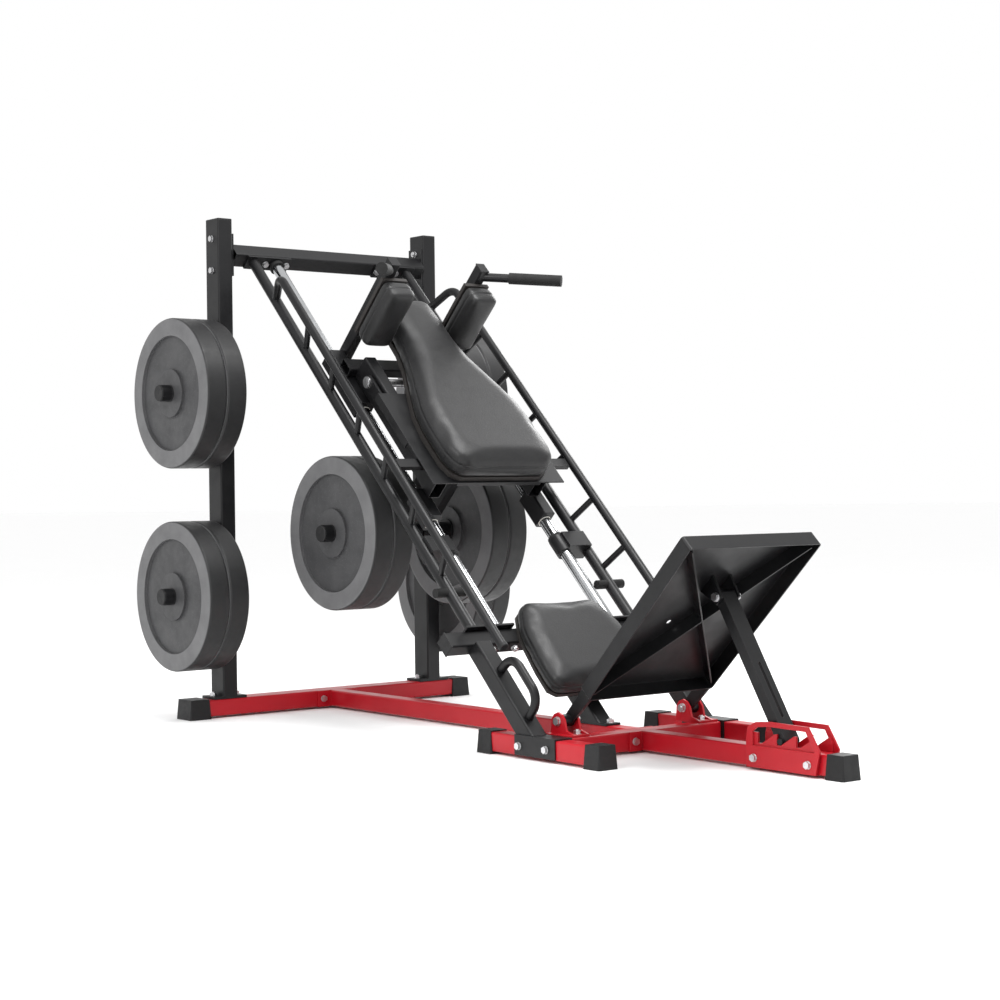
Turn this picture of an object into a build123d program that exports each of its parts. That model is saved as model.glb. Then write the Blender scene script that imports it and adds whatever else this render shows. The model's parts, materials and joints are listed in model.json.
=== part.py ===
from build123d import *
import os
from math import cos, radians, sin, sqrt

# Plate-loaded leg press and hack squat machine, in millimetres, +Z up.
# X runs from the uprights to the foot-plate end, Y across, and left is +Y.
# Everything is drawn from the uprights' centre line at floor level. write() then moves
# each piece so that the row's origin is the middle of the footprint.

# ---- driving dimensions ----
TUBE = 50.0              # square frame tube
WALL = 2.5               # frame tube wall
CORNER = 5.0             # frame tube corner radius
BEAM_Z = (7.0, 57.0)     # base tubes, held off the floor by their end caps
CAP_TOP = 60.0           # top of the base end caps
PLATE = 6.0              # flange and bracket plate
SHEET = 4.0              # folded sheet

UPRIGHT_X = 37.5         # half of the uprights' 75 mm side
UPRIGHT_Y = (359.0, 409.0)
UPRIGHT_TOP = 1508.0
MACHINE_TOP = 1512.0
REAR_BEAM_HALF = 517.0
REAR_CAP_HALF = 527.0

FOOT_X = (1180.0, 1648.0)
FOOT_CAP_X = (1172.0, 1656.0)
FOOT_Y = 294.0
CROSS_X = (1427.0, 1477.0)
SPINE_END = 2133.0
SPINE_CAP_END = 2173.0

# The rails fall at 45 degrees. Down-slope distance is w, height out of the slope is n.
RAIL_N = 1005.0          # crossbeam, posts and ladder foot tubes
CROSSBEAM_W = -980.0
RAIL_TOP_W = -949.0
RAIL_END_W = 567.0
RAIL_W = (RAIL_TOP_W, RAIL_END_W)
ROD_Y = 204.0
ROD_N = 1000.0
ROD_R = 17.0
LADDER_Y = 286.0
LADDER_R = 16.0
CATCH_Y = 322.6
CATCH_N = 1108.0
CATCH_R = 12.5
CATCH_W = (-760.0, 705.0)
RUNG_R = 9.0
RUNG_W = (-545.0, -365.0, -180.0, 0.0, 180.0, 372.0)

HORN_R = 25.0            # 50 mm sleeves for Olympic plates
STORAGE_Z = (372.0, 980.0)
STORAGE_TIP = 599.0
STORAGE_COLLAR = 426.0
SLED_TIP = 316.0         # the sled's sleeves hang below the rails, inside the uprights
SLED_COLLAR = 143.0
HORN_W = -89.0
HORN_N = 703.0
HANGER_Y = (36.0, 66.0)
HANGER_DEEP = 40.0
HORN_CAP = 5.0
FREE_END = 36.0          # horn left bare outside its plates
GROOVE = 2.0

DISC_R = 225.0           # bumper plates
DISC_T = 66.0
DISC_GAP = 1.5
DISC_BORE = 25.08
DISC_HUB_R = 72.0
DISC_RIM_R = 172.0
DISC_RECESS = 9.0

HOUSING_Y = (177.0, 231.0)
LOWER_HOUSING_Y = (183.0, 225.0)
HOUSING_N = (976.0, 1035.0)
UPPER_HOUSING_W = (-520.0, -290.0)
LOWER_HOUSING_W = (62.0, 168.0)
BUSH_R = 19.5
RUN_CLEARANCE = 0.05

STRINGER_Y = (160.0, 200.0)
SLED_PLATE_W = (-240.0, 125.0)
SLED_PLATE_HALF = 236.0
SLED_PLATE_N = 1114.0
HOOK_W = -326.0
HOOK_N = 1082.0
HOOK_SHAFT_R = 12.0
HOOK_ARM_Y = (204.0, 212.0)

HINGE = (1408.0, 94.0)           # foot-plate hinge, X and Z
HINGE_PIN_R = 6.0
TRAY_FOOT = (1464.0, 179.0)      # lower edge of the foot plate's face
TRAY_ANGLE = 45.3
TRAY_LENGTH = 548.0
TRAY_HALF = (217.0, 227.0)       # half width at the lower and the upper edge
TRAY_DEPTH = 42.0
TRAY_SHEET = 3.0
TRAY_HOLE = (240.0, -69.0)       # up the plate and across
PROP_TOP = (1766.0, 413.0)
PROP_FOOT = (1972.0, 75.0)
PROP_HALF = 24.0
PROP_BAR_R = 8.0

BOLT_R = 5.0
ROOT2 = sqrt(2)
FOOTPRINT_X = (-DISC_R, SPINE_CAP_END)
ORIGIN_X = sum(FOOTPRINT_X) / 2

os.makedirs("parts", exist_ok=True)


# ---- frames and simple shapes ----
def slope_point(w, y, n):
    """The point w down the rails, y across and n out of the slope."""
    return ((w + n) / ROOT2, y, (n - w) / ROOT2)


def slope_axes(w, y, n):
    """Plane at a slope point: local x down the rails, local y across, local z out of them."""
    return Plane(origin=slope_point(w, y, n), x_dir=(1, 0, -1), z_dir=(1, 0, 1))


DOWN_RAIL = (1, 0, -1)
UP_RAIL = (-1, 0, 1)
OUT_OF_SLOPE = (1, 0, 1)
SLOPE = slope_axes(0, 0, 0)


def on_slope(shape):
    return SLOPE.location * shape


def block(x, y, z):
    """Box between three (low, high) pairs."""
    size = Box(x[1] - x[0], y[1] - y[0], z[1] - z[0])
    return Pos(sum(x) / 2, sum(y) / 2, sum(z) / 2) * size


def rod(start, end, radius):
    """Solid round bar from start to end."""
    run = Vector(*end) - Vector(*start)
    return extrude(Plane(origin=start, z_dir=run) * Circle(radius), amount=run.length)


def tube(plane, width, height, length, wall=WALL, corner=CORNER):
    """Rectangular tube along the plane's normal."""
    outer = extrude(plane * RectangleRounded(width, height, corner), amount=length)
    bore_corner = corner - wall
    bore = RectangleRounded(width - 2 * wall, height - 2 * wall, bore_corner)
    return outer - extrude(plane * bore, amount=length)


def tube_x(x, y, z, width=TUBE, height=TUBE):
    return tube(Plane(origin=(x[0], y, z), x_dir=(0, 1, 0), z_dir=(1, 0, 0)), width, height, x[1] - x[0])


def tube_y(y, x, z, width=TUBE, height=TUBE):
    return tube(Plane(origin=(x, y[0], z), x_dir=(1, 0, 0), z_dir=(0, 1, 0)), width, height, y[1] - y[0])


def slope_tube_across(y, w, n, width=TUBE, height=TUBE):
    """Tube along Y whose sides lie along and square to the slope."""
    start = Plane(origin=slope_point(w, y[0], n), x_dir=DOWN_RAIL, z_dir=(0, 1, 0))
    return tube(start, width, height, y[1] - y[0])


def slope_tube_down(w, y, n, width=TUBE, height=TUBE):
    """Tube that runs down the rails."""
    start = Plane(origin=slope_point(w[0], y, n), x_dir=(0, 1, 0), z_dir=DOWN_RAIL)
    return tube(start, width, height, w[1] - w[0])


def slope_block(w, y, n):
    return on_slope(block(w, y, n))


def rail_bar(w, y, n, radius):
    """Round bar along the rails between two w values."""
    return rod(slope_point(w[0], y, n), slope_point(w[1], y, n), radius)


def slope_bar_across(w, y, n, radius):
    """Round bar along Y between two y values, at w down the rails."""
    return rod(slope_point(w, y[0], n), slope_point(w, y[1], n), radius)


def longer(span, extra=1.0):
    """The span with a little added at both ends, for a clean cut."""
    return (span[0] - extra, span[1] + extra)


def other_side(shape):
    return mirror(shape, about=Plane.XZ)


def pair(shape):
    return [shape, other_side(shape)]


def profile_y(points, y):
    """Plate with an (X, Z) outline between two Y values."""
    outline = Polyline([(px, y[0], pz) for px, pz in points], close=True)
    return extrude(make_face(outline), amount=y[1] - y[0], dir=(0, 1, 0))


def hex_bolt(seat, direction, grip, radius=BOLT_R):
    """Bolt whose washer rests at seat, with its nut and washer after the grip."""
    washer, head, nut, spare = 1.6, 6.4, 8.0, 3.0
    at = Plane(origin=seat, z_dir=direction)
    far = at.offset(grip)
    shank = extrude(at * Circle(radius), amount=grip + washer + nut + spare)
    washers = extrude(at * Circle(2 * radius), amount=-washer)
    washers += extrude(far * Circle(2 * radius), amount=washer)
    hexagon = RegularPolygon(1.9 * radius, 6)
    heads = extrude(at.offset(-washer) * hexagon, amount=-head)
    heads += extrude(far.offset(washer) * hexagon, amount=nut)
    return shank + washers + heads


def carriage_bolt(top, grip):
    """Bolt with a low round head below and a hexagon nut on top, for the base beams."""
    washer, nut, spare, head = 1.6, 8.0, 3.0, 4.0
    at = Plane(origin=top)
    shank = extrude(at * Circle(BOLT_R), amount=-grip)
    shank += extrude(at * Circle(BOLT_R), amount=washer + nut + spare)
    top_end = extrude(at * Circle(2 * BOLT_R), amount=washer)
    top_end += extrude(at.offset(washer) * RegularPolygon(1.9 * BOLT_R, 6), amount=nut)
    return shank + top_end + extrude(at.offset(-grip) * Circle(2 * BOLT_R), amount=-head)


def bolt_hole(seat, direction, grip, radius=BOLT_R):
    at = Plane(origin=seat, z_dir=direction).offset(-1)
    return extrude(at * Circle(radius + 0.25), amount=grip + 2)


def drilled(shape, holes):
    for one in holes:
        shape = shape - one
    return shape


def write(node, *pieces):
    """Move the pieces to the row's origin and write them as one STEP."""
    solids = [Pos(-ORIGIN_X, 0, 0) * solid for piece in pieces for solid in piece.solids()]
    export_step(solids[0] if len(solids) == 1 else Compound(solids), f"parts/{node}.step")


# ---- bolts that join the frame, and the holes that take them ----
BEAM_MID = sum(BEAM_Z) / 2
CROSS_MID = sum(CROSS_X) / 2
CROSSBEAM_X, _, CROSSBEAM_Z = slope_point(CROSSBEAM_W, 0, RAIL_N)
UPRIGHT_MID = sum(UPRIGHT_Y) / 2
SADDLE_X = (1328.0, 1487.0)
CLEVIS_BOLT_Y = 218.0
RATCHET_Y = (25.0, 31.0)
GUARD_Y = (31.0, 36.0)
SEAT_FLANGE_X = (1205.0, 1345.0)
RAIL_BOLTS_Y = (171.0, 245.0)
MEMBER_N = 995.0         # lower crossmember, 40 mm deep
MEMBER_DEEP = 40.0
MEMBER_HALF = 386.0
MEMBER_W = (RAIL_END_W + PLATE, RAIL_END_W + PLATE + TUBE)

bolt_specs = []
for side in (-1, 1):
    # rear spine flange to rear beam
    bolt_specs.append(((UPRIGHT_X + PLATE, side * 52.0, BEAM_MID), (-1, 0, 0), 2 * UPRIGHT_X + PLATE))
    # front spine flange, front cross beam and rear spine flange
    bolt_specs.append(((CROSS_X[1] + PLATE, side * 48.0, BEAM_MID), (-1, 0, 0), TUBE + 2 * PLATE))
    for lift in (-48.0, 48.0):
        # crossbeam flange through the upright
        seat = (0, side * UPRIGHT_Y[1], CROSSBEAM_Z + lift)
        bolt_specs.append((seat, (0, -side, 0), TUBE + PLATE))
    for x in (SADDLE_X[0] + 17, CROSS_MID):
        # saddle bracket across the front foot
        seat = (x, side * (FOOT_Y + TUBE / 2 + SHEET), BEAM_MID)
        bolt_specs.append((seat, (0, -side, 0), TUBE + 2 * SHEET))
    for y in RAIL_BOLTS_Y:
        # rail end plates to the crossbeam and to the lower crossmember
        bolt_specs.append((slope_point(RAIL_TOP_W, side * y, RAIL_N), UP_RAIL, TUBE + PLATE))
        bolt_specs.append((slope_point(RAIL_END_W, side * y, MEMBER_N), DOWN_RAIL, TUBE + PLATE))
for x in (1892.0, 2067.0):
    # ratchet plates and guards through the front spine
    bolt_specs.append(((x, -GUARD_Y[1], 30.0), (0, 1, 0), 2 * GUARD_Y[1]))

frame_bolts = [hex_bolt(*spec) for spec in bolt_specs]
frame_holes = [bolt_hole(*spec) for spec in bolt_specs]

carriage_tops = [(0, side * (UPRIGHT_MID + step), BEAM_Z[1] + 8) for side in (-1, 1) for step in (-40, 40)]
carriage_tops += [(x, 0, BEAM_Z[1] + PLATE) for x in (SEAT_FLANGE_X[0] + 12, SEAT_FLANGE_X[1] - 12)]
carriage_tops += [(CROSS_MID, side * CLEVIS_BOLT_Y, BEAM_Z[1] + PLATE) for side in (-1, 1)]
carriage_grips = [TUBE + 8] * 4 + [TUBE + PLATE] * 4
frame_bolts += [carriage_bolt(top, grip) for top, grip in zip(carriage_tops, carriage_grips)]
frame_holes += [bolt_hole(top, (0, 0, -1), grip) for top, grip in zip(carriage_tops, carriage_grips)]


# ---- base ----
def end_cap(length, width, height, tube_width, direction, at):
    """Tapered foot cap that slips over a tube end; `at` is the middle of its closed end."""
    taper = 5
    lip = length - 10
    foot = RectangleRounded(length + 6, width, 6) if direction[0] else RectangleRounded(width, length + 6, 6)
    inward = -direction[0] or -direction[1]
    shift = inward * (length + 6) / 2
    middle = (at[0] + (shift if direction[0] else 0), at[1] + (0 if direction[0] else shift), 0)
    shell = extrude(Plane(origin=middle) * foot, amount=height, taper=taper)
    if direction[0]:
        x = sorted((at[0] + inward * 8, at[0] + inward * (lip + 40)))
        return shell - block(x, (at[1] - tube_width / 2, at[1] + tube_width / 2), BEAM_Z)
    y = sorted((at[1] + inward * 10, at[1] + inward * (lip + 40)))
    return shell - block((at[0] - tube_width / 2, at[0] + tube_width / 2), y, BEAM_Z)


rear_beam = tube_y((-REAR_BEAM_HALF, REAR_BEAM_HALF), 0, BEAM_MID, 2 * UPRIGHT_X, TUBE)
write("rear_base_beam", drilled(rear_beam, frame_holes))
rear_cap = end_cap(67, 88, CAP_TOP, 2 * UPRIGHT_X, (0, 1), (0, REAR_CAP_HALF))
write("rear_beam_end_caps", *pair(rear_cap))

rear_spine = tube_x((UPRIGHT_X + PLATE, CROSS_X[0] - PLATE), 0, BEAM_MID)
rear_spine += block((UPRIGHT_X, UPRIGHT_X + PLATE), (-72, 72), BEAM_Z)
rear_spine += block((CROSS_X[0] - PLATE, CROSS_X[0]), (-66, 66), BEAM_Z)
write("rear_spine", drilled(rear_spine, frame_holes))

front_spine = tube_x((CROSS_X[1] + PLATE, SPINE_END), 0, BEAM_MID)
front_spine += block((CROSS_X[1], CROSS_X[1] + PLATE), (-66, 66), BEAM_Z)
write("front_spine", drilled(front_spine, frame_holes))

cross_half = FOOT_Y - TUBE / 2 - SHEET
front_cross = tube_y((-cross_half, cross_half), CROSS_MID, BEAM_MID)

foot = drilled(tube_x(FOOT_X, FOOT_Y, BEAM_MID), frame_holes)
write("front_feet", *pair(foot))
foot_cap_front = end_cap(56, 64, CAP_TOP, TUBE, (1, 0), (FOOT_CAP_X[1], FOOT_Y))
foot_cap_rear = end_cap(56, 64, CAP_TOP, TUBE, (-1, 0), (FOOT_CAP_X[0], FOOT_Y))
spine_cap = end_cap(54, 64, CAP_TOP, TUBE, (1, 0), (SPINE_CAP_END, 0))
write("front_end_caps", *pair(foot_cap_front), *pair(foot_cap_rear), spine_cap)

# ---- uprights, crossbeam and plate storage ----
upright_flange_z = (BEAM_Z[1], BEAM_Z[1] + 8)
upright = tube(Plane(origin=(0, UPRIGHT_MID, upright_flange_z[1])), 2 * UPRIGHT_X, TUBE,
               UPRIGHT_TOP - upright_flange_z[1])
upright += block((-UPRIGHT_X, UPRIGHT_X), (UPRIGHT_MID - 56, UPRIGHT_MID + 56), upright_flange_z)
upright = drilled(upright, frame_holes)
write("upright_left", upright)
write("upright_right", other_side(upright))
upright_cap = extrude(Plane(origin=(0, UPRIGHT_MID, UPRIGHT_TOP)) * RectangleRounded(75, TUBE, CORNER),
                      amount=MACHINE_TOP - UPRIGHT_TOP)
upright_cap = chamfer(upright_cap.faces().sort_by(Axis.Z)[-1].edges(), 1.5)
upright_cap += block((-30, 30), (UPRIGHT_MID - 18, UPRIGHT_MID + 18), (UPRIGHT_TOP - 22, UPRIGHT_TOP))
write("upright_top_caps", *pair(upright_cap))

crossbeam_half = UPRIGHT_Y[0] - PLATE
crossbeam = slope_tube_across((-crossbeam_half, crossbeam_half), CROSSBEAM_W, RAIL_N)
for side in (-1, 1):
    flange_y = sorted((side * crossbeam_half, side * UPRIGHT_Y[0]))
    crossbeam += block((-34, 34), flange_y, (CROSSBEAM_Z - 64, CROSSBEAM_Z + 64))
write("top_crossbeam", drilled(crossbeam, frame_holes))


def cross_rod(middle, y, radius):
    """Round bar along Y through the (X, Z) point."""
    return rod((middle[0], y[0], middle[1]), (middle[0], y[1], middle[1]), radius)


def horn(middle, root, collar, tip):
    """50 mm sleeve along +Y with a stop collar and a shallow groove near its tip."""
    end = tip - HORN_CAP
    groove = (tip - FREE_END, tip - FREE_END + GROOVE)
    body = cross_rod(middle, (root, end), HORN_R) + cross_rod(middle, collar, HORN_R + 10)
    body -= cross_rod(middle, (root, end), HORN_R - 4)
    return body - (cross_rod(middle, groove, HORN_R + 5) - cross_rod(middle, groove, HORN_R - 0.6))


def horn_cap(middle, tip):
    """Plastic plug in the end of a sleeve."""
    cap = cross_rod(middle, (tip - HORN_CAP, tip), HORN_R)
    cap = chamfer(cap.faces().sort_by(Axis.Y)[-1].edges(), 2)
    return cap + cross_rod(middle, (tip - HORN_CAP - 18, tip - HORN_CAP), HORN_R - 4)


def left_and_right(shapes):
    return [one for shape in shapes for one in pair(shape)]


write("storage_horns", *left_and_right(
    horn((0, z), UPRIGHT_Y[1], (UPRIGHT_Y[1], STORAGE_COLLAR), STORAGE_TIP) for z in STORAGE_Z))
write("storage_horn_caps", *left_and_right(horn_cap((0, z), STORAGE_TIP) for z in STORAGE_Z))

# ---- saddles, posts and rails ----
saddle_inner = FOOT_Y - TUBE / 2 - SHEET
saddle_outer = FOOT_Y + TUBE / 2 + SHEET
saddle = block(SADDLE_X, (saddle_inner, saddle_outer), (BEAM_Z[0] + 2, BEAM_Z[1] + SHEET))
saddle -= block(SADDLE_X, (FOOT_Y - TUBE / 2, FOOT_Y + TUBE / 2), (0, BEAM_Z[1]))
write("saddle_brackets", *pair(drilled(saddle, frame_holes)))
write("front_cross_beam", drilled(front_cross, frame_holes))

post = slope_tube_down((MEMBER_W[1], 1000.0), FOOT_Y, RAIL_N)
post -= block((1000, 2000), (200, 400), (-300, BEAM_Z[1] + SHEET))
write("rail_posts", *pair(post))


def ladder():
    """Catch ladder of one side: foot tube, bent catch tube and rungs, welded."""
    foot_tube = rail_bar(RAIL_W, LADDER_Y, RAIL_N, LADDER_R)
    bend = FilletPolyline(
        slope_point(CATCH_W[0] - 14, LADDER_Y, RAIL_N),
        slope_point(CATCH_W[0], CATCH_Y, CATCH_N),
        slope_point(CATCH_W[1], CATCH_Y, CATCH_N),
        radius=38,
    )
    catch_tube = sweep(Plane(origin=bend @ 0, z_dir=bend % 0) * Circle(CATCH_R), path=bend)
    frame = foot_tube + catch_tube
    for w in RUNG_W:
        frame += rod(slope_point(w, LADDER_Y, RAIL_N), slope_point(w, CATCH_Y, CATCH_N), RUNG_R)
    frame -= rail_bar(RAIL_W, LADDER_Y, RAIL_N, LADDER_R - WALL)
    return frame - rail_bar((CATCH_W[0] + 60, CATCH_W[1]), CATCH_Y, CATCH_N, CATCH_R - 2)


ladder_left = ladder()
write("catch_ladder_left", ladder_left)
write("catch_ladder_right", other_side(ladder_left))
plug = rail_bar((CATCH_W[1], CATCH_W[1] + 12), CATCH_Y, CATCH_N, CATCH_R + 1.5)
plug = fillet(plug.faces().sort_by(Axis.Z)[0].edges(), 4)
plug += rail_bar((CATCH_W[1] - 20, CATCH_W[1]), CATCH_Y, CATCH_N, CATCH_R - 2)
write("ladder_tube_plugs", *pair(plug))

rail_rod = rail_bar(RAIL_W, ROD_Y, ROD_N, ROD_R) - rail_bar(RAIL_W, ROD_Y, ROD_N, ROD_R - 4)
write("guide_rods", *pair(rail_rod))

top_plate = slope_block((RAIL_TOP_W - PLATE, RAIL_TOP_W), (160, 312), (981, 1029))
end_plate = slope_block((RAIL_END_W, RAIL_END_W + PLATE), (160, 319), (975, 1029))
write("rail_end_plates", *pair(drilled(top_plate, frame_holes)), *pair(drilled(end_plate, frame_holes)))

member_mid = sum(MEMBER_W) / 2
member = slope_tube_across((-MEMBER_HALF, MEMBER_HALF), member_mid, MEMBER_N, TUBE, MEMBER_DEEP)
write("rail_lower_crossmember", drilled(member, frame_holes))
member_cap = slope_block(MEMBER_W, (MEMBER_HALF, MEMBER_HALF + 4), (MEMBER_N - 20, MEMBER_N + 20))
member_cap += slope_block((MEMBER_W[0] + 6, MEMBER_W[1] - 6), (MEMBER_HALF - 18, MEMBER_HALF),
                          (MEMBER_N - 14, MEMBER_N + 14))
write("crossmember_end_caps", *pair(member_cap))

# Tie brackets clamp each ladder to its guide rod and are the sled's lower stop.
TIE_W = (242.0, 298.0)
tie = slope_block(TIE_W, (ROD_Y, LADDER_Y), (ROD_N - 24, 1033))
tie += rail_bar(TIE_W, ROD_Y, ROD_N, ROD_R + 7)
tie -= rail_bar(longer(TIE_W), ROD_Y, ROD_N, ROD_R)
tie -= rail_bar(longer(TIE_W), LADDER_Y, RAIL_N, LADDER_R)
write("rail_tie_brackets", *pair(tie))

# Rubber rings on the guide rods cushion the sled at both ends of its travel.
bumpers = []
for w in ((TIE_W[0] - 8, TIE_W[0]), (RAIL_TOP_W, RAIL_TOP_W + 12)):
    bumpers += pair(rail_bar(w, ROD_Y, ROD_N, ROD_R + 6) - rail_bar(w, ROD_Y, ROD_N, ROD_R))
write("rail_bumpers", *bumpers)

# Cross pins through the ladder feet, with rubber sleeves at their ends.
STOP_PIN_W = 428.0
stop_pin = slope_bar_across(STOP_PIN_W, (238, 334), RAIL_N, 13)
stop_pin -= rail_bar((STOP_PIN_W - 40, STOP_PIN_W + 40), LADDER_Y, RAIL_N, LADDER_R)
write("ladder_stop_pins", *pair(stop_pin))

# ---- grab handles on the posts ----
POST_TOP_N = RAIL_N + TUBE / 2
GRAB_W = (724.0, 884.0)
GRAB_RISE = 64.0
GRAB_R = 12.0
grab_path = FilletPolyline(
    slope_point(GRAB_W[0], FOOT_Y, POST_TOP_N),
    slope_point(GRAB_W[0] + 6, FOOT_Y, POST_TOP_N + GRAB_RISE),
    slope_point(GRAB_W[1] - 6, FOOT_Y, POST_TOP_N + GRAB_RISE),
    slope_point(GRAB_W[1], FOOT_Y, POST_TOP_N),
    radius=44,
)
grab = sweep(Plane(origin=grab_path @ 0, z_dir=grab_path % 0) * Circle(GRAB_R), path=grab_path)
grab -= slope_block(longer(GRAB_W, 40), (FOOT_Y - 30, FOOT_Y + 30), (POST_TOP_N - 30, POST_TOP_N))
write("grab_handles", *pair(grab))

# ---- seat ----
SEAT_W = (520.0, 824.0)
SEAT_N = (1015.0, 1025.0, 1076.0)


def closed_outline(half, inset):
    """Both sides of a (w, y) outline from its left half, drawn in by the inset."""
    left = [(w, y - inset) for w, y in half]
    return left + [(w, -y) for w, y in reversed(left)]




def seat_outline(inset):
    """Shouldered outline: narrow at the top, wide towards the foot plate."""
    top, foot = SEAT_W
    half = [(top + inset, 120), (top + 22, 140), (top + 95, 172)]
    half += [(top + 215, 184), (foot - 24, 184), (foot - inset, 162)]
    return closed_outline(half, inset)


def slope_slab(points, n, soften=0.0):
    """Slab with a (w, y) outline between two heights out of the slope."""
    face = make_face(Polyline([(w, y, n[0]) for w, y in points], close=True))
    slab = extrude(face, amount=n[1] - n[0], dir=(0, 0, 1))
    if soften:
        slab = fillet(slab.faces().sort_by(Axis.Z)[-1].edges(), soften)
    return on_slope(slab)


write("seat_board", slope_slab(seat_outline(6), SEAT_N[:2]))
write("seat_cushion", slope_slab(seat_outline(0), SEAT_N[1:], 22))

seat_tube_n = MEMBER_N - MEMBER_DEEP / 2 - TUBE / 2
seat_tube = slope_tube_down((MEMBER_W[0] + 2, 1000.0), 0, seat_tube_n)
seat_tube -= block((1000, 2000), (-60, 60), (-300, BEAM_Z[1] + PLATE))
seat_tube += block(SEAT_FLANGE_X, (-25, 25), (BEAM_Z[1], BEAM_Z[1] + PLATE))
for w in (MEMBER_W[1] + 14, 760.0):
    seat_tube += slope_block((w, w + 30), (-70, 70), (seat_tube_n + TUBE / 2, SEAT_N[0]))
write("seat_support_tube", drilled(seat_tube, frame_holes))

# ---- foot-plate hinge brackets on the front cross beam ----
EAR_Y = ((193.0, 199.0), (239.0, 245.0))
ear_outline = [(1380, 57), (1470, 57), (1470, 63), (1440, 72), (1433, 98), (1423, 111), (1408, 117)]
ear_outline += [(1393, 111), (1383, 98)]
clevis = block((1380, 1470), (EAR_Y[0][0], 262), (BEAM_Z[1], BEAM_Z[1] + PLATE))
for y in EAR_Y:
    clevis += profile_y(ear_outline, y)
clevis -= cross_rod(HINGE, (150, 260), HINGE_PIN_R + RUN_CLEARANCE)
write("foot_plate_clevises", *pair(drilled(clevis, frame_holes)))

# ---- angle ratchet on the front spine ----
NOTCH_X = (1910.0, PROP_FOOT[0], 2034.0)
NOTCH_TOP = 92.0
NOTCH_FLOOR = PROP_FOOT[1] - PROP_BAR_R - 0.5
ratchet_outline = [(1872, BEAM_Z[0])]
ratchet_outline += [(1872, 80), (1884, NOTCH_TOP)]
for x in NOTCH_X:
    # steep wall towards the seat, ramp towards the end of the spine
    ratchet_outline += [(x - 9, NOTCH_TOP), (x - 9, NOTCH_FLOOR), (x + 4, NOTCH_FLOOR), (x + 46, NOTCH_TOP)]
ratchet_outline += [(2088, 76), (2090, BEAM_Z[0])]
ratchet = profile_y(ratchet_outline, RATCHET_Y)
guard_outline = [(1866, 7), (2090, 7), (2104, 64), (2068, 119), (1941, 121), (1898, 117), (1872, 104)]
guard_outline += [(1866, 81)]
guard_window = [(1888, 60), (2088, 60), (2060, 107), (1944, 109), (1903, 105), (1888, 94)]
guard = profile_y(guard_outline, GUARD_Y) - profile_y(guard_window, longer(GUARD_Y))
write("angle_ratchet_plates", *left_and_right([drilled(ratchet, frame_holes), drilled(guard, frame_holes)]))

write("frame_bolts", *frame_bolts)

# ---- sled: bearings and frame ----


def housing(w, y):
    body = slope_block(w, y, HOUSING_N)
    long_edges = body.edges().filter_by(Axis(origin=(0, 0, 0), direction=DOWN_RAIL))
    body = fillet(long_edges, 6)
    return body - rail_bar(longer(w), ROD_Y, ROD_N, BUSH_R)


def bush(w):
    bore = rail_bar(longer(w), ROD_Y, ROD_N, ROD_R + RUN_CLEARANCE)
    return rail_bar(w, ROD_Y, ROD_N, BUSH_R) - bore


write("bearing_housings", *left_and_right(
    [housing(UPPER_HOUSING_W, HOUSING_Y), housing(LOWER_HOUSING_W, LOWER_HOUSING_Y)]))
bush_ends = ((UPPER_HOUSING_W[0], UPPER_HOUSING_W[0] + 60), (UPPER_HOUSING_W[1] - 60, UPPER_HOUSING_W[1]),
             LOWER_HOUSING_W)
write("bearing_bushes", *left_and_right(bush(w) for w in bush_ends))

UPPER_CROSS_W = (-450.0, -400.0)
upper_cross = slope_tube_across((-227, 227), sum(UPPER_CROSS_W) / 2, HOUSING_N[1] + 15, 50, 30)
write("sled_upper_cross_tube", upper_cross)

stringer_mid = sum(STRINGER_Y) / 2
stringer_height = SLED_PLATE_N - HOUSING_N[1]
stringer = slope_tube_down((UPPER_CROSS_W[1], SLED_PLATE_W[1] - 25), stringer_mid,
                           HOUSING_N[1] + stringer_height / 2, 40, stringer_height)
stringer -= slope_bar_across(HOOK_W, (100, 260), HOOK_N, HOOK_SHAFT_R + RUN_CLEARANCE)
write("sled_stringers", *pair(stringer))

horn_x, _, horn_z = slope_point(HORN_W, 0, HORN_N)
half_bar = horn((horn_x, horn_z), 0, (SLED_COLLAR - PLATE, SLED_COLLAR), SLED_TIP)

# The bar hangs on two struts from a cross tube under the sled's back plate.
HANGER_TUBE = 30.0
tube_y_span = (-STRINGER_Y[0], STRINGER_Y[0])
tube_n = SLED_PLATE_N - HANGER_TUBE / 2
hanger_tube = slope_tube_across(tube_y_span, HORN_W, tube_n, HANGER_DEEP, HANGER_TUBE)
strut_w = (HORN_W - HANGER_DEEP / 2, HORN_W + HANGER_DEEP / 2)
strut = slope_block(strut_w, HANGER_Y, (HORN_N, SLED_PLATE_N - HANGER_TUBE))
strut -= slope_block(longer(strut_w, -WALL), longer(HANGER_Y, -WALL), (HORN_N, SLED_PLATE_N - HANGER_TUBE))
strut += cross_rod((horn_x, horn_z), HANGER_Y, HORN_R + 8)
strut -= cross_rod((horn_x, horn_z), longer(HANGER_Y), HORN_R - 4)
write("sled_horn_bar", half_bar + other_side(half_bar) + strut + other_side(strut) + hanger_tube)
write("sled_horn_caps", *pair(horn_cap((horn_x, horn_z), SLED_TIP)))

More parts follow.
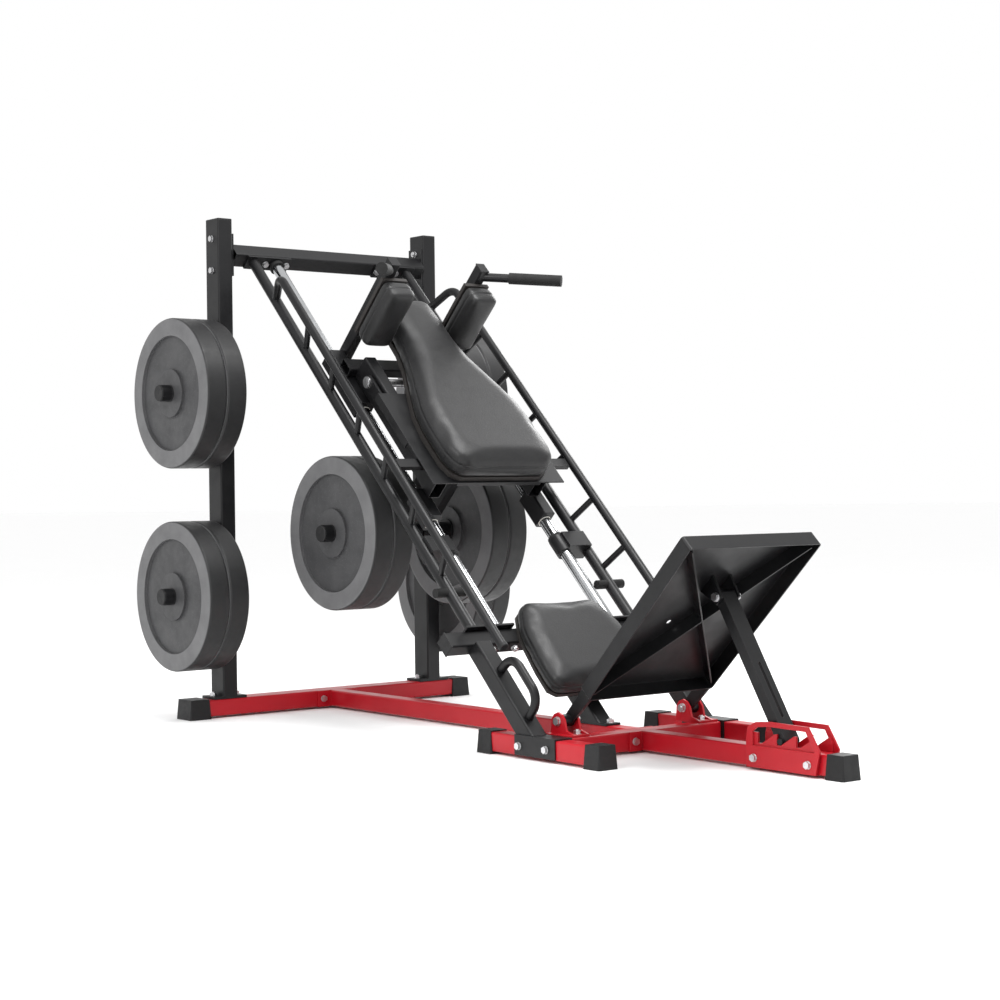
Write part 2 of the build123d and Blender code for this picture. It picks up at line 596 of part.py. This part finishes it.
# ---- back plate and pads ----
sled_plate = block(SLED_PLATE_W, (-SLED_PLATE_HALF, SLED_PLATE_HALF), (SLED_PLATE_N, SLED_PLATE_N + SHEET))
lower_lip = (SLED_PLATE_W[1] - SHEET, SLED_PLATE_W[1])
sled_plate += block(lower_lip, (-150, 150), (SLED_PLATE_N - 8, SLED_PLATE_N))
for side in (-1, 1):
    edge = sorted((side * (SLED_PLATE_HALF - SHEET), side * SLED_PLATE_HALF))
    sled_plate += block((SLED_PLATE_W[0], -40), edge, (SLED_PLATE_N - 20, SLED_PLATE_N))
sled_plate = on_slope(sled_plate)
write("sled_back_plate", sled_plate)


def back_outline(inset):
    """Bottle-shaped back pad: a narrow head between the shoulder pads, broad at the hips."""
    head, hips = -590, 122
    half = [(head + inset, 60), (-575, 84), (-480, 94), (-400, 97), (-330, 112), (-215, 152)]
    half += [(-130, 180), (-50, 190), (60, 188), (100, 176), (hips - inset, 146)]
    return closed_outline(half, inset)


BACK_N = (SLED_PLATE_N + SHEET, SLED_PLATE_N + SHEET + 14, 1203.0)
write("back_pad_board", slope_slab(back_outline(4), BACK_N[:2]))
write("back_pad", slope_slab(back_outline(0), BACK_N[1:], 26))

ARM_Y = (147.0, 177.0)
ARM_W = (-542.0, -504.0)
ARM_N = (988.0, 1372.0)
SHOULDER_W = (ARM_W[1], ARM_W[1] + 12, ARM_W[1] + 82)
SHOULDER_Y = (100.0, 200.0)
SHOULDER_N = (1123.0, 1334.0)
HANDLE_INNER = slope_point(-520.0, 162.0, 1342.0)
HANDLE_TIP = (768.0, 322.0, 1297.0)
HANDLE_R = 13.0


def shoulder_arm():
    """Arm beside the upper housing, its closed end and the welded handle tube."""
    root = slope_point(sum(ARM_W) / 2, sum(ARM_Y) / 2, ARM_N[0])
    start = Plane(origin=root, x_dir=(0, 1, 0), z_dir=OUT_OF_SLOPE)
    arm = tube(start, ARM_Y[1] - ARM_Y[0], ARM_W[1] - ARM_W[0], ARM_N[1] - ARM_N[0])
    arm += slope_block(ARM_W, ARM_Y, (ARM_N[1], ARM_N[1] + 3))
    return arm + rod(HANDLE_INNER, HANDLE_TIP, HANDLE_R)


arm_left = shoulder_arm()
write("shoulder_arm_left", arm_left)
write("shoulder_arm_right", other_side(arm_left))

shoulder_board = slope_block(SHOULDER_W[:2], longer(SHOULDER_Y, -6), longer(SHOULDER_N, -6))
shoulder = block(SHOULDER_W[1:], SHOULDER_Y, SHOULDER_N)
shoulder = on_slope(fillet(shoulder.edges(), 14))
write("shoulder_pad_boards", *pair(shoulder_board))
write("shoulder_pad_left", shoulder)
write("shoulder_pad_right", other_side(shoulder))

handle_run = Vector(*HANDLE_TIP) - Vector(*HANDLE_INNER)
grip_start = Vector(*HANDLE_INNER) + handle_run * 0.38
grip_end = Vector(*HANDLE_TIP) + handle_run.normalized() * 5
grip = rod(tuple(grip_start), tuple(grip_end), HANDLE_R + 4)
grip -= rod(HANDLE_INNER, HANDLE_TIP, HANDLE_R)
write("handle_grips", *pair(grip))

# ---- safety hooks, on one shaft through both stringers ----
HOOK_BAR_W = (20.0, 52.0)
HOOK_BAR_N = (1096.0, 1110.0)
hook_outline = [(HOOK_W - 20, HOOK_N - 8), (HOOK_W - 8, HOOK_N - 20), (HOOK_W + 20, HOOK_N - 20),
                (HOOK_BAR_W[0], HOOK_BAR_N[0] - 6), (HOOK_BAR_W[1], HOOK_BAR_N[0]),
                (HOOK_BAR_W[1], HOOK_BAR_N[1]), (HOOK_W + 60, HOOK_N + 20), (HOOK_W - 8, HOOK_N + 20),
                (HOOK_W - 20, HOOK_N + 8)]
hook_face = make_face(Polyline([(w, HOOK_ARM_Y[0], n) for w, n in hook_outline], close=True))
hook = on_slope(extrude(hook_face, amount=HOOK_ARM_Y[1] - HOOK_ARM_Y[0], dir=(0, 1, 0)))
hook += slope_block(HOOK_BAR_W, (HOOK_ARM_Y[0], 306), HOOK_BAR_N)
hook -= slope_bar_across(HOOK_W, (150, 260), HOOK_N, HOOK_SHAFT_R)
write("safety_hooks", *pair(hook))
hook_shaft = slope_bar_across(HOOK_W, (-218, 218), HOOK_N, HOOK_SHAFT_R)
shaft_collar = slope_bar_across(HOOK_W, (HOOK_ARM_Y[1], HOOK_ARM_Y[1] + 5), HOOK_N, HOOK_SHAFT_R + 5)
hook_shaft += pair(shaft_collar)
write("hook_shaft", hook_shaft)

# ---- foot plate ----
TRAY_UP = (cos(radians(TRAY_ANGLE)), 0, sin(radians(TRAY_ANGLE)))
TRAY_OUT = (-TRAY_UP[2], 0, TRAY_UP[0])
TRAY = Plane(origin=(TRAY_FOOT[0], 0, TRAY_FOOT[1]), x_dir=TRAY_UP, z_dir=TRAY_OUT)


def tray_local(point):
    """Distances up the foot plate and out of its face for an (X, Z) point."""
    run = (point[0] - TRAY_FOOT[0], point[1] - TRAY_FOOT[1])
    up = run[0] * TRAY_UP[0] + run[1] * TRAY_UP[2]
    return up, run[0] * TRAY_OUT[0] + run[1] * TRAY_OUT[2]


def tray_prism(inset, v):
    corners = [(inset, -TRAY_HALF[0] + inset), (TRAY_LENGTH - inset, -TRAY_HALF[1] + inset)]
    corners += [(u, -y) for u, y in reversed(corners)]
    face = make_face(Polyline([(u, y, v[0]) for u, y in corners], close=True))
    prism = extrude(face, amount=v[1] - v[0], dir=(0, 0, 1))
    return fillet(prism.edges().filter_by(Axis.Z), 8 - inset)


tray = tray_prism(0, (-TRAY_DEPTH, 0)) - tray_prism(TRAY_SHEET, (-TRAY_DEPTH, -TRAY_SHEET))
tray -= Pos(*TRAY_HOLE, 0) * Cylinder(7, 20)
write("foot_plate", TRAY.location * tray)

BRACE_V = (-38.0, -TRAY_SHEET)
brace_run = TRAY_LENGTH - 30
brace_half = 2 * TRAY_HALF[0] - 16
brace_turn = Vector(brace_run, brace_half, 0)
brace_angle = Vector(1, 0, 0).get_angle(brace_turn)
brace_box = Box(brace_turn.length - 8, SHEET, BRACE_V[1] - BRACE_V[0])
brace_middle = Pos(TRAY_LENGTH / 2, 0, sum(BRACE_V) / 2)
brace = brace_middle * Rot(0, 0, brace_angle) * brace_box
braces = brace + brace_middle * Rot(0, 0, -brace_angle) * brace_box
write("foot_plate_braces", TRAY.location * braces)

LUG_Y = (201.0, 237.0)
LEG_Y = (203.0, 213.0)
hinge_u, hinge_v = tray_local(HINGE)
leg_outline = [(hinge_u, hinge_v - 15), (hinge_u, hinge_v + 15), (0, -2), (0, -TRAY_DEPTH + 2)]
lug = TRAY.location * profile_y(leg_outline, LEG_Y)
lug += cross_rod(HINGE, LUG_Y, 16)
lug -= cross_rod(HINGE, (150, 260), HINGE_PIN_R)
prop_u, prop_v = tray_local(PROP_TOP)
ear_points = [(prop_u - 30, -TRAY_SHEET), (prop_u - 14, prop_v - 14)]
ear_points += [(prop_u + 14, prop_v - 14), (prop_u + 30, -TRAY_SHEET)]
PROP_EAR_Y = (27.0, 33.0)
ear = TRAY.location * profile_y(ear_points, PROP_EAR_Y) - cross_rod(PROP_TOP, (0, 60), HINGE_PIN_R)
write("foot_plate_lugs", *left_and_right([lug, ear]))

PIN_PLAY = 0.4
hinge_seat = (HINGE[0], EAR_Y[1][1] + PIN_PLAY, HINGE[1])
hinge_grip = EAR_Y[1][1] - EAR_Y[0][0] + 2 * PIN_PLAY
prop_seat = (PROP_TOP[0], -PROP_EAR_Y[1], PROP_TOP[1])
write("foot_plate_pins", *pair(hex_bolt(hinge_seat, (0, -1, 0), hinge_grip, HINGE_PIN_R)),
      hex_bolt(prop_seat, (0, 1, 0), 2 * PROP_EAR_Y[1], HINGE_PIN_R))

# ---- angle prop ----
prop_run = Vector(PROP_FOOT[0] - PROP_TOP[0], 0, PROP_FOOT[1] - PROP_TOP[1])
PROP = Plane(origin=(PROP_TOP[0], 0, PROP_TOP[1]), x_dir=prop_run, z_dir=(-prop_run.Z, 0, prop_run.X))
PROP_DEEP = 14.0
prop_a = (-14.0, prop_run.length + 9)
prop = block(prop_a, (-PROP_HALF, PROP_HALF), (-PROP_DEEP, PROP_DEEP))
prop = fillet(prop.edges().filter_by(Axis.Y), 10)
prop_hollow_y = (-PROP_HALF + SHEET, PROP_HALF - SHEET)
prop -= block(longer(prop_a), prop_hollow_y, (-PROP_DEEP - 1, PROP_DEEP - SHEET))
slot = SlotOverall(150, 9)
prop -= Pos(265, 0, 0) * extrude(slot, amount=PROP_DEEP + 5)
prop = PROP.location * prop - cross_rod(PROP_TOP, (-60, 60), HINGE_PIN_R + RUN_CLEARANCE)
prop += cross_rod(PROP_FOOT, (-30.5, 30.5), PROP_BAR_R)
write("angle_prop", prop)


# ---- bumper plates, two on each sleeve ----
def disc(middle, start):
    """Bumper plate with a raised rim and hub on both faces."""
    body = fillet(cross_rod(middle, (start, start + DISC_T), DISC_R).edges(), 7)
    for y in ((start, start + DISC_RECESS), (start + DISC_T - DISC_RECESS, start + DISC_T)):
        body -= cross_rod(middle, y, DISC_RIM_R) - cross_rod(middle, y, DISC_HUB_R)
    return body - cross_rod(middle, (start - 1, start + DISC_T + 1), DISC_BORE)


def disc_stack(middle, collar):
    first = collar + 0.5
    return [disc(middle, first), disc(middle, first + DISC_T + DISC_GAP)]


stacks = {"lower": disc_stack((0, STORAGE_Z[0]), STORAGE_COLLAR),
          "upper": disc_stack((0, STORAGE_Z[1]), STORAGE_COLLAR),
          "sled": disc_stack((horn_x, horn_z), SLED_COLLAR)}
for place, discs in stacks.items():
    write(f"weight_plates_{place}_left", *discs)
    write(f"weight_plates_{place}_right", *[other_side(one) for one in discs])
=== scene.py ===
import json
import math
import bpy
from mathutils import Matrix, Vector


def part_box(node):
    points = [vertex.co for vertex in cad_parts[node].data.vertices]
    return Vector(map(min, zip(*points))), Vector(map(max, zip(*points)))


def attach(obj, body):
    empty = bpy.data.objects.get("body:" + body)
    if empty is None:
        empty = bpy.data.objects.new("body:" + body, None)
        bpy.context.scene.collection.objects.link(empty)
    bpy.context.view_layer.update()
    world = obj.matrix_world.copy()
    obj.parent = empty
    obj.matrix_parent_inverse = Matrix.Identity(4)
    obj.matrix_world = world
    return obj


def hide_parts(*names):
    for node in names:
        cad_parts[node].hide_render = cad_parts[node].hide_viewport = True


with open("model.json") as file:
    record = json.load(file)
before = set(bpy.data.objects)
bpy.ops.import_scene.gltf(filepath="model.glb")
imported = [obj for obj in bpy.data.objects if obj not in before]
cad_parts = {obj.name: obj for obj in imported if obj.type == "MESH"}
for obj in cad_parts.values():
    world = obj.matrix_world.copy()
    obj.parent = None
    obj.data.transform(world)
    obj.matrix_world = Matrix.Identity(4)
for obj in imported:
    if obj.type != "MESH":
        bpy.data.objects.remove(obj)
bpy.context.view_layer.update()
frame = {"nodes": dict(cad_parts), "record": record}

# ---- looks: how each slot's surface is built ----
NOISE_LOW, NOISE_HIGH = 0.3, 0.7  # where most of a noise texture's values lie
RING_PITCH = 1400.0               # radians per metre of the discs' moulding rings


class Surface:
    """A Principled material with the node shortcuts the finishes below share."""

    def __init__(self, name, roughness=0.5, metallic=0.0, ior=1.5, sheen=0.0):
        self.material = bpy.data.materials.new(name)
        self.material.use_nodes = True
        self.tree = self.material.node_tree
        self.bsdf = self.tree.nodes["Principled BSDF"]
        self.set(self.bsdf, Roughness=roughness, Metallic=metallic, IOR=ior)
        self.set(self.bsdf, Sheen_Weight=sheen)
        self.place = self.add("ShaderNodeTexCoord").outputs["Object"]

    def add(self, kind, **settings):
        node = self.tree.nodes.new(kind)
        for key, value in settings.items():
            setattr(node, key, value)
        return node

    @staticmethod
    def set(node, **values):
        """Socket names as keys, with underscores for spaces."""
        for key, value in values.items():
            node.inputs[key.replace("_", " ")].default_value = value

    def link(self, source, target):
        self.tree.links.new(source, target)

    def stretched(self, scale):
        mapping = self.add("ShaderNodeMapping")
        self.set(mapping, Scale=scale)
        self.link(self.place, mapping.inputs["Vector"])
        return mapping.outputs["Vector"]

    def noise(self, scale, detail=3.0, roughness=0.5, place=None):
        node = self.add("ShaderNodeTexNoise")
        self.set(node, Scale=scale, Detail=detail, Roughness=roughness)
        self.link(place or self.place, node.inputs["Vector"])
        return node.outputs["Fac"]

    def cells(self, scale, feature="F1"):
        node = self.add("ShaderNodeTexVoronoi", feature=feature)
        self.set(node, Scale=scale)
        self.link(self.place, node.inputs["Vector"])
        return node.outputs["Distance"]

    def remap(self, value, low, high, to_low=0.0, to_high=1.0):
        node = self.add("ShaderNodeMapRange")
        self.set(node, From_Min=low, From_Max=high, To_Min=to_low, To_Max=to_high)
        self.link(value, node.inputs["Value"])
        return node.outputs["Result"]

    def spread(self, value, to_low=0.0, to_high=1.0):
        """A noise value stretched over the whole range from to_low to to_high."""
        return self.remap(value, NOISE_LOW, NOISE_HIGH, to_low, to_high)

    def maths(self, operation, first, second=0.0):
        node = self.add("ShaderNodeMath", operation=operation)
        for socket, value in zip(node.inputs, (first, second)):
            if isinstance(value, (int, float)):
                socket.default_value = value
            else:
                self.link(value, socket)
        return node.outputs["Value"]

    def mix(self, factor, first, second):
        node = self.add("ShaderNodeMix", data_type="RGBA")
        self.link(factor, node.inputs["Factor"])
        for socket, value in zip((node.inputs[6], node.inputs[7]), (first, second)):
            if isinstance(value, tuple):
                socket.default_value = (*value, 1.0)
            else:
                self.link(value, socket)
        return node.outputs[2]

    def colour(self, value):
        self.link(value, self.bsdf.inputs["Base Color"])

    def roughness(self, value):
        self.link(value, self.bsdf.inputs["Roughness"])

    def rounded(self, radius):
        """The surface normal with its edges rounded off."""
        bevel = self.add("ShaderNodeBevel", samples=4)
        self.set(bevel, Radius=radius)
        return bevel.outputs["Normal"]

    def edge_wear_and_highlight(self, soft, low, high):
        """Mask along the edges that the `soft` normal rounds, broken up by noise; paint uses it
        for edge wear plus a painted highlight, plastic for scuffs.
        """
        geometry = self.add("ShaderNodeNewGeometry")
        dot = self.add("ShaderNodeVectorMath", operation="DOT_PRODUCT")
        self.link(soft, dot.inputs[0])
        self.link(geometry.outputs["Normal"], dot.inputs[1])
        edge = self.remap(dot.outputs["Value"], 0.999, 0.93)
        patchy = self.remap(self.noise(38.0, 4.0), 0.35, 0.75, low, high)
        return self.maths("MULTIPLY", edge, patchy)

    def bump(self, height, distance, strength=1.0, under=None):
        node = self.add("ShaderNodeBump")
        self.set(node, Distance=distance, Strength=strength)
        self.link(height, node.inputs["Height"])
        if under is not None:
            self.link(under, node.inputs["Normal"])
        self.link(node.outputs["Normal"], self.bsdf.inputs["Normal"])
        return node.outputs["Normal"]


def times(factor, tone):
    return tuple(factor * c for c in tone)


def paint(name, deep, light, rough):
    """Powder coat: orange peel, faint cloudiness, and paler edges that are partly wear and partly
    a painted highlight along the edges.
    """
    s = Surface(name, ior=1.38)
    soft = s.rounded(0.0016)
    # edge mask: the paler edge colour is partly edge wear and partly a painted highlight along
    # the edges
    wear = s.edge_wear_and_highlight(soft, 0.15, 0.75)
    body = s.mix(s.spread(s.noise(5.0, 4.0)), deep, times(1.22, deep))
    s.colour(s.mix(wear, body, light))
    s.roughness(s.spread(s.noise(17.0, 5.0), rough - 0.06, rough + 0.08))
    s.bump(s.noise(620.0, 2.0), 0.00012, 0.55, soft)
    return s.material


def metal(name, tone, rough, streaks):
    """Plated metal: patchy tone and faint streaks, `streaks` of them per metre each way."""
    s = Surface(name, metallic=1.0)
    lines = s.noise(1.0, 4.0, 0.6, s.stretched(streaks))
    s.colour(s.mix(s.spread(s.noise(26.0, 4.0)), tone, times(0.86, tone)))
    s.roughness(s.spread(lines, rough, rough + 0.12))
    s.bump(lines, 0.00004, 0.3, s.rounded(0.0006))
    return s.material


def plastic(name, tone, rough, grain, depth):
    """Moulded plastic or rubber with an even spark-eroded grain and scuffed edges."""
    s = Surface(name, ior=1.38)
    soft = s.rounded(0.0014)
    wear = s.edge_wear_and_highlight(soft, 0.05, 0.5)
    body = s.mix(s.spread(s.noise(9.0, 4.0)), tone, times(1.35, tone))
    s.colour(s.mix(wear, body, tuple(3.0 * c + 0.02 for c in tone)))
    s.roughness(s.spread(s.noise(60.0, 3.0), rough - 0.07, rough + 0.07))
    s.bump(s.cells(grain), depth, 0.6, soft)
    return s.material


def vinyl(name, tone):
    """Grained upholstery vinyl: pebbles, fine creases and a soft sheen."""
    s = Surface(name, ior=1.42, sheen=0.04)
    s.set(s.bsdf, Sheen_Roughness=0.4)
    pebbles = s.cells(520.0, "SMOOTH_F1")
    creases = s.noise(24.0, 6.0, 0.62)
    s.colour(s.mix(s.remap(pebbles, 0.15, 0.6), times(1.3, tone), times(0.7, tone)))
    s.roughness(s.spread(creases, 0.36, 0.5))
    under = s.bump(creases, 0.0004, 0.35)
    s.bump(pebbles, 0.0004, 0.55, under)
    return s.material


def plywood(name, tone):
    """Black-stained board with grain showing through."""
    s = Surface(name)
    grain = s.noise(1.0, 5.0, 0.6, s.stretched((160.0, 12.0, 160.0)))
    s.colour(s.mix(s.spread(grain), tone, times(1.9, tone)))
    s.roughness(s.spread(grain, 0.6, 0.75))
    s.bump(grain, 0.0002, 0.5)
    return s.material


FACE_R = 0.2215    # the flat rim ends here and the tread begins
RECESS_R = 0.172   # the dished face inside the rim


def disc_rubber(name, centre):
    """Bumper plate: rim ring in the rubber's grey, dished face darkened as painted shade in the
    recess, near-black tread as painted shade, and a few flecks.
    """
    s = Surface(name, ior=1.4)
    split = s.add("ShaderNodeSeparateXYZ")
    s.link(s.place, split.inputs["Vector"])
    across = s.maths("SUBTRACT", split.outputs["X"], centre[0])
    up = s.maths("SUBTRACT", split.outputs["Z"], centre[1])
    squares = s.maths("ADD", s.maths("MULTIPLY", across, across), s.maths("MULTIPLY", up, up))
    radius = s.maths("SQRT", squares)
    flecks = s.remap(s.cells(150.0), 0.1, 0.2, 1.0, 0.0)
    cloud = s.spread(s.noise(14.0, 5.0))
    # the dished face is painted darker than the rim ring, as painted shade in the recess
    recess = s.remap(radius, RECESS_R + 0.001, RECESS_R - 0.001)
    ring = s.mix(cloud, (0.105, 0.105, 0.108), (0.14, 0.14, 0.143))
    dish_shade = s.mix(cloud, (0.04, 0.04, 0.042), (0.06, 0.06, 0.062))
    face = s.mix(recess, ring, dish_shade)
    face = s.mix(s.maths("MULTIPLY", flecks, 0.3), face, (0.2, 0.2, 0.2))
    # the plate's outer rim is painted near-black against the grey faces, as painted shade
    tread = s.remap(radius, FACE_R - 0.001, FACE_R + 0.0015)
    s.colour(s.mix(tread, face, (0.012, 0.012, 0.0125)))
    s.roughness(s.spread(s.noise(45.0, 4.0), 0.42, 0.56))
    rings = s.maths("SINE", s.maths("MULTIPLY", radius, RING_PITCH))
    height = s.maths("ADD", s.maths("MULTIPLY", rings, 0.12), s.noise(420.0, 3.0))
    s.bump(height, 0.00022, 0.5, s.rounded(0.002))
    return s.material


FINISHES = {
    "red_paint": paint("red_paint", (0.36, 0.005, 0.012), (0.55, 0.05, 0.05), 0.34),
    "black_paint": paint("black_paint", (0.004, 0.004, 0.0046), (0.045, 0.045, 0.048), 0.4),
    "chrome_rod": metal("chrome_rod", (0.5, 0.51, 0.52), 0.12, (40.0, 40.0, 40.0)),
    "zinc_steel": metal("zinc_steel", (0.66, 0.66, 0.67), 0.26, (420.0, 420.0, 60.0)),
    "cap_plastic": plastic("cap_plastic", (0.006, 0.006, 0.0065), 0.5, 900.0, 0.00015),
    "bush_plastic": plastic("bush_plastic", (0.62, 0.6, 0.55), 0.4, 600.0, 0.00008),
    "black_rubber": plastic("black_rubber", (0.008, 0.008, 0.008), 0.72, 480.0, 0.0005),
    "pad_vinyl": vinyl("pad_vinyl", (0.012, 0.012, 0.0125)),
    "pad_board": plywood("pad_board", (0.014, 0.012, 0.011)),
}


def dress(piece, material):
    piece.data.materials.clear()
    piece.data.materials.append(material)


def centre_of(node):
    low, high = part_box(node)
    return (low + high) / 2


# one disc finish per storage place, because its rings are centred on that place's sleeve
disc_finish = {}
for part in frame["record"]["subparts"]:
    node, slot = part["node"], part["material_slot"]
    if slot == "plate_rubber":
        place = node.split("_")[2]
        if place not in disc_finish:
            middle = centre_of(node)
            disc_finish[place] = disc_rubber(f"plate_rubber_{place}", (middle.x, middle.z))
        dress(frame["nodes"][node], disc_finish[place])
    else:
        dress(frame["nodes"][node], FINISHES[slot])


# ---- cushions, blown up by cloth simulation over their boards ----
DOWN_RAIL = Vector((1, 0, -1)).normalized()
OUT_OF_SLOPE = Vector((1, 0, 1)).normalized()
VOXEL = 0.006
SHRINK = 0.003         # the pad starts this much smaller, because it swells
SIM_FRAMES = 16
PRESSURE = 4.0
HELD = 0.004           # depth of the layer that is stapled to the board
SEAM_HALF_WIDTH = 0.0045
SEAM_DEPTH = 0.0026


def evaluated_mesh(piece):
    depsgraph = bpy.context.evaluated_depsgraph_get()
    return bpy.data.meshes.new_from_object(piece.evaluated_get(depsgraph))


def with_modifier(piece, kind, **settings):
    """Apply one modifier to the piece's own mesh."""
    modifier = piece.modifiers.new(kind.title(), kind)
    for key, value in settings.items():
        setattr(modifier, key, value)
    bpy.context.view_layer.update()
    mesh = evaluated_mesh(piece)
    piece.modifiers.clear()
    piece.data = mesh


def inflate(piece, out, cap):
    """Swell the piece off its board, which lies square to `out` under it, by up to `cap`."""
    mesh = piece.data
    base = min(v.co.dot(out) for v in mesh.vertices)
    held = [v.index for v in mesh.vertices if v.co.dot(out) < base + HELD]
    free = set(range(len(mesh.vertices))) - set(held)
    for index in free:
        vertex = mesh.vertices[index]
        vertex.co = vertex.co - SHRINK * vertex.normal
    start = [v.co.copy() for v in mesh.vertices]
    pins = piece.vertex_groups.new(name="board")
    pins.add(held, 1.0, "REPLACE")
    cloth = piece.modifiers.new("Cloth", "CLOTH")
    settings = cloth.settings
    settings.quality = 4
    settings.mass = 0.3
    settings.tension_stiffness = 30
    settings.compression_stiffness = 30
    settings.shear_stiffness = 18
    settings.bending_stiffness = 6.0
    settings.use_pressure = True
    settings.uniform_pressure_force = PRESSURE
    settings.vertex_group_mass = "board"
    settings.effector_weights.gravity = 0
    cloth.point_cache.frame_start = 1
    cloth.point_cache.frame_end = SIM_FRAMES
    for step in range(1, SIM_FRAMES + 1):
        bpy.context.scene.frame_set(step)
    swollen = evaluated_mesh(piece)
    piece.modifiers.clear()
    for vertex, origin, target in zip(mesh.vertices, start, swollen.vertices):
        move = target.co - origin
        if move.length > cap:
            move *= cap / move.length
        vertex.co = origin + move
    bpy.context.scene.frame_set(1)
    piece.vertex_groups.clear()


def sew(piece, out, height):
    """Sink a seam into the side wall where the top panel meets the boxing."""
    mesh = piece.data
    base = min(v.co.dot(out) for v in mesh.vertices)
    middle = sum((v.co for v in mesh.vertices), Vector()) / len(mesh.vertices)
    for vertex in mesh.vertices:
        off = abs(vertex.co.dot(out) - base - height)
        if off < SEAM_HALF_WIDTH and abs(vertex.normal.dot(out)) < 0.8:
            inward = middle - vertex.co
            inward -= inward.dot(out) * out
            fall = 0.5 + 0.5 * math.cos(math.pi * off / SEAM_HALF_WIDTH)
            vertex.co = vertex.co + inward.normalized() * SEAM_DEPTH * fall


def cushion(node, body, out, cap, seam):
    """The visible pad that stands for the plain CAD solid `node`, seamed `seam` off its board."""
    piece = frame["nodes"][node].copy()
    piece.data = frame["nodes"][node].data.copy()
    piece.name = f"{node}_cover"
    piece.parent = None
    for key in list(piece.keys()):
        del piece[key]
    bpy.context.scene.collection.objects.link(piece)
    with_modifier(piece, "REMESH", mode="VOXEL", voxel_size=VOXEL)
    inflate(piece, out, cap)
    with_modifier(piece, "SMOOTH", factor=0.5, iterations=36)
    with_modifier(piece, "SUBSURF", levels=1, render_levels=1)
    sew(piece, out, seam)
    dress(piece, FINISHES["pad_vinyl"])
    for polygon in piece.data.polygons:
        polygon.use_smooth = True
    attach(piece, body)
    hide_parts(node)


cushion("seat_cushion", "base_frame", OUT_OF_SLOPE, 0.008, 0.027)
cushion("back_pad", "sled", OUT_OF_SLOPE, 0.008, 0.036)
for side in ("left", "right"):
    cushion(f"shoulder_pad_{side}", "sled", DOWN_RAIL, 0.007, 0.034)

# ---- floor, light and camera ----
EDGE = 60.0
corners = [(-EDGE, -EDGE, 0), (EDGE, -EDGE, 0), (EDGE, EDGE, 0), (-EDGE, EDGE, 0)]
floor_mesh = bpy.data.meshes.new("floor")
floor_mesh.from_pydata(corners, [], [(0, 1, 2, 3)])
floor = bpy.data.objects.new("floor", floor_mesh)
bpy.context.scene.collection.objects.link(floor)
floor_finish = Surface("floor_finish", roughness=0.9)
cloud = floor_finish.noise(2.0)
floor_finish.colour(floor_finish.mix(cloud, (0.97, 0.97, 0.97), (0.99, 0.99, 0.99)))
dress(floor, floor_finish.material)

world = bpy.data.worlds.new("studio")
bpy.context.scene.world = world
world.use_nodes = True
background = world.node_tree.nodes["Background"]
background.inputs["Color"].default_value = (1.0, 1.0, 1.0, 1.0)
background.inputs["Strength"].default_value = 1.0
bpy.context.scene.view_settings.view_transform = "Standard"


def softbox(name, spot, aim, size, watts):
    lamp = bpy.data.lights.new(name, "AREA")
    lamp.energy = watts
    lamp.size = size
    holder = bpy.data.objects.new(name, lamp)
    holder.location = spot
    holder.rotation_euler = (Vector(aim) - Vector(spot)).to_track_quat("-Z", "Y").to_euler()
    bpy.context.scene.collection.objects.link(holder)


softbox("top_light", (0.9, 0.1, 3.6), (0, 0, 0.6), 1.6, 110.0)
softbox("key_light", (1.2, -3.4, 2.8), (-0.1, 0, 0.6), 1.2, 60.0)
softbox("far_rim", (-1.4, 3.0, 2.6), (0.2, 0, 0.8), 1.2, 50.0)

STAND = (4.286, -3.495, 0.695)
FOCAL, SENSOR = 71.55, 36.0
YAW, PITCH, ROLL = (math.radians(a) for a in (51.44, -0.433, -0.65))
flat = math.cos(PITCH)
forward = Vector((-math.sin(YAW) * flat, math.cos(YAW) * flat, math.sin(PITCH)))
level = Vector((math.cos(YAW), math.sin(YAW), 0))
upright = level.cross(forward)
right = math.cos(ROLL) * level + math.sin(ROLL) * upright
above = math.cos(ROLL) * upright - math.sin(ROLL) * level
camera = bpy.data.objects.new("camera", bpy.data.cameras.new("camera"))
camera.data.lens = FOCAL
camera.data.sensor_width = SENSOR
camera.data.clip_end = 60.0
turn = Matrix((right, above, -forward)).transposed().to_4x4()
camera.matrix_world = Matrix.Translation(STAND) @ turn
bpy.context.scene.collection.objects.link(camera)
bpy.context.scene.camera = camera
